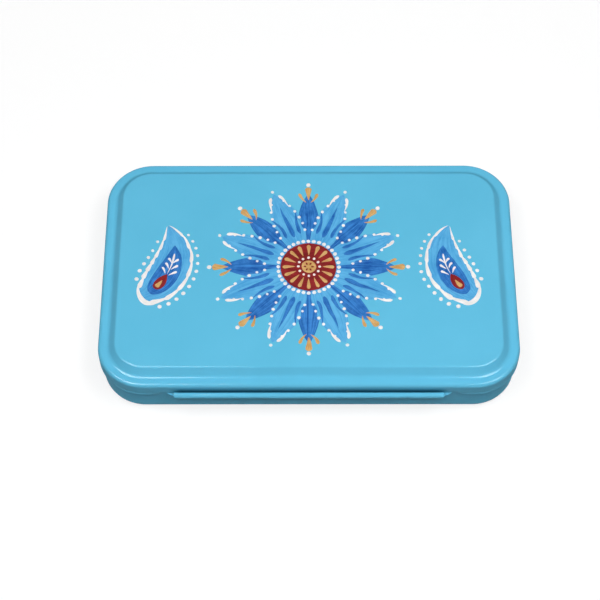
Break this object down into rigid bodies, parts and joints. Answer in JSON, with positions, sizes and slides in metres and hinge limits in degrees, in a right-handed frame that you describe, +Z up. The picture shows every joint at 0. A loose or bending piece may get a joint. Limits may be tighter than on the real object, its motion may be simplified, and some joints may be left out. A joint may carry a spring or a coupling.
{
  "type": "storage tin",
  "caption": "Shallow rectangular tin with rounded corners, a hinged overlapping lid with a raised panel and a rolled grip along the front edge, for keeping pencils and small things.",
  "frame": {"origin": "on the table, under the middle of the tin's plan", "axes": "+X along the tin's length, -Y towards the front edge with the grip, +Y towards the hinges, +Z up out of the lid"},
  "size_m": [0.18, 0.12, 0.0255],
  "materials": {
    "blue_enamel": "glossy sprayed enamel on sheet steel",
    "pin_steel": "drawn steel wire"
  },
  "bodies": {
    "tin_body": {"body_shell": "blue_enamel", "left_body_leaf": "blue_enamel", "right_body_leaf": "blue_enamel", "left_hinge_pin": "pin_steel", "right_hinge_pin": "pin_steel"},
    "lid": {"lid_shell": "blue_enamel", "left_lid_leaf": "blue_enamel", "right_lid_leaf": "blue_enamel"}
  },
  "joints": [
    {"name": "lid_hinge", "type": "hinge", "parent": "tin_body", "child": "lid", "pos_m": [0, 0.05875, 0.0139], "axis": [-1, 0, 0], "range_deg": [0, 180]}
  ]
}
